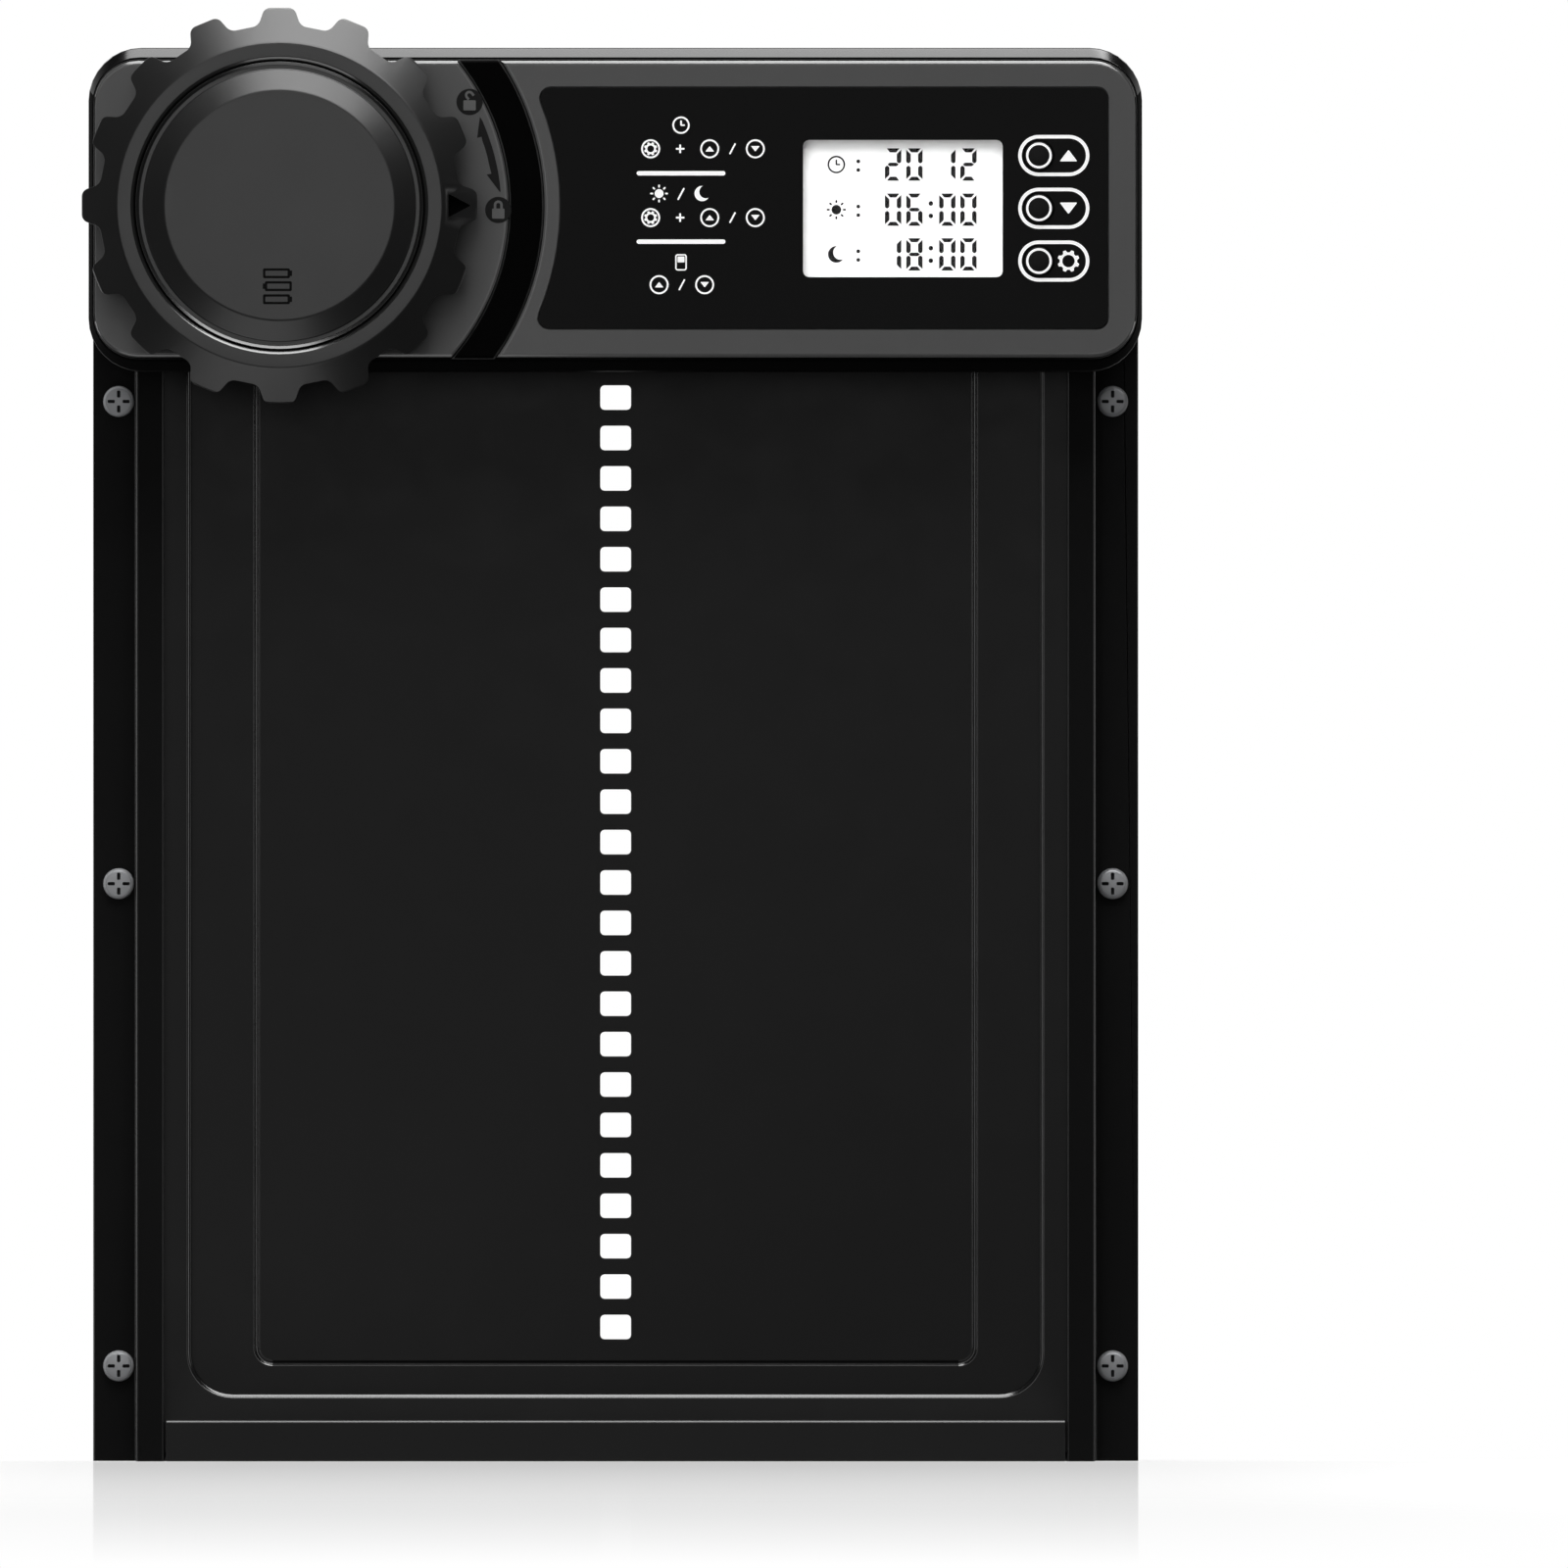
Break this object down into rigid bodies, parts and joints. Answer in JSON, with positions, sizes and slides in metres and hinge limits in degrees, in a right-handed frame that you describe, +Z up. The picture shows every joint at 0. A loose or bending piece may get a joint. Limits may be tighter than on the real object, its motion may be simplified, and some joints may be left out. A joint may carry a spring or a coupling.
{
  "type": "automatic coop door",
  "caption": "Wall-mounted sliding pop-hole door in a two-rail steel frame, lifted by a pinion in a header box that has a display, push buttons and a turning round battery cap",
  "frame": {"origin": "centre of the sill bar's back face, on the wall plane", "axes": "+Z up along the door's travel, +X to the viewer's right, the front faces -Y and the wall is behind at y = 0"},
  "size_m": [0.2513, 0.0777, 0.3448],
  "materials": {
    "satin_black_steel": "satin black powder coat on steel sheet",
    "gloss_black_shell": "polished black ABS",
    "charcoal_cover": "fine-textured charcoal ABS",
    "gloss_black_panel": null,
    "black_plastic": "moulded black ABS",
    "white_nylon": "natural acetal",
    "clear_lens": "clear acrylic window",
    "lcd_panel": "pale reflective LCD in a white frame",
    "circuit_board": "green solder mask",
    "black_rubber": "matt black silicone",
    "steel_parts": "turned and drawn steel",
    "contact_steel": "nickel-plated spring steel",
    "cell_jacket": "plain printed sleeve",
    "black_screws": "grey phosphated steel",
    "zinc_screws": "zinc-plated steel"
  },
  "bodies": {
    "frame": {"arc_inlay": "gloss_black_panel", "back_shell": "gloss_black_shell", "bar_screw_1": "zinc_screws", "bar_screw_2": "zinc_screws", "bar_screw_3": "zinc_screws", "bar_screw_4": "zinc_screws", "battery_tray": "black_plastic", "case_gasket": "black_rubber", "case_screw_1": "zinc_screws", "case_screw_2": "zinc_screws", "case_screw_3": "zinc_screws", "case_screw_4": "zinc_screws", "cell_1": "cell_jacket", "cell_2": "cell_jacket", "cell_3": "cell_jacket", "circuit_board": "circuit_board", "contact_link_lower": "contact_steel", "contact_link_upper": "contact_steel", "contact_negative": "contact_steel", "contact_positive": "contact_steel", "front_cover": "charcoal_cover", "gearbox_case": "black_plastic", "gearbox_screw_1": "zinc_screws", "gearbox_screw_2": "zinc_screws", "header_screw_1": "zinc_screws", "header_screw_2": "zinc_screws", "header_screw_3": "zinc_screws", "header_screw_4": "zinc_screws", "lcd_lens": "clear_lens", "lcd_module": "lcd_panel", "left_door_guide": "white_nylon", "left_rail": "satin_black_steel", "legend_panel": "gloss_black_panel", "motor_can": "steel_parts", "opening_plate": "satin_black_steel", "rear_crossbar": "white_nylon", "right_door_guide": "white_nylon", "right_rail": "satin_black_steel", "shaft_bush": "white_nylon", "sill_bar": "satin_black_steel", "tact_switch_down": "black_plastic", "tact_switch_set": "black_plastic", "tact_switch_up": "black_plastic", "wall_screw_1": "black_screws", "wall_screw_2": "black_screws", "wall_screw_3": "black_screws", "wall_screw_4": "black_screws", "wall_screw_5": "black_screws", "wall_screw_6": "black_screws"},
    "door": {"door_panel": "satin_black_steel"},
    "pinion": {"drive_pinion": "white_nylon", "drive_shaft": "steel_parts"},
    "cap": {"battery_cap": "charcoal_cover", "cap_disc": "charcoal_cover", "cap_seal": "black_rubber"},
    "button_up_key": {"button_up": "gloss_black_panel"},
    "button_down_key": {"button_down": "gloss_black_panel"},
    "button_set_key": {"button_set": "gloss_black_panel"}
  },
  "joints": [
    {"name": "door_slide", "type": "slide", "parent": "frame", "child": "door", "axis": [0, 0, 1], "range_m": [0, 0.24]},
    {"name": "pinion_spin", "type": "hinge", "parent": "frame", "child": "pinion", "pos_m": [0, -0.02293, 0.27655], "axis": [1, 0, 0], "range_deg": [0, 901]},
    {"name": "battery_cap_turn", "type": "hinge", "parent": "frame", "child": "cap", "pos_m": [-0.0795, -0.0503, 0.29295], "axis": [0, -1, 0], "range_deg": [0, 30]},
    {"name": "button_up_press", "type": "slide", "parent": "frame", "child": "button_up_key", "axis": [0, 1, 0], "range_m": [0, 0.0006], "stiffness_N_per_m": 300},
    {"name": "button_down_press", "type": "slide", "parent": "frame", "child": "button_down_key", "axis": [0, 1, 0], "range_m": [0, 0.0006], "stiffness_N_per_m": 300},
    {"name": "button_set_press", "type": "slide", "parent": "frame", "child": "button_set_key", "axis": [0, 1, 0], "range_m": [0, 0.0006], "stiffness_N_per_m": 300}
  ],
  "couplings": [
    {"joint": "pinion_spin", "follows": "door_slide", "rad_per_m": 65.45}
  ]
}
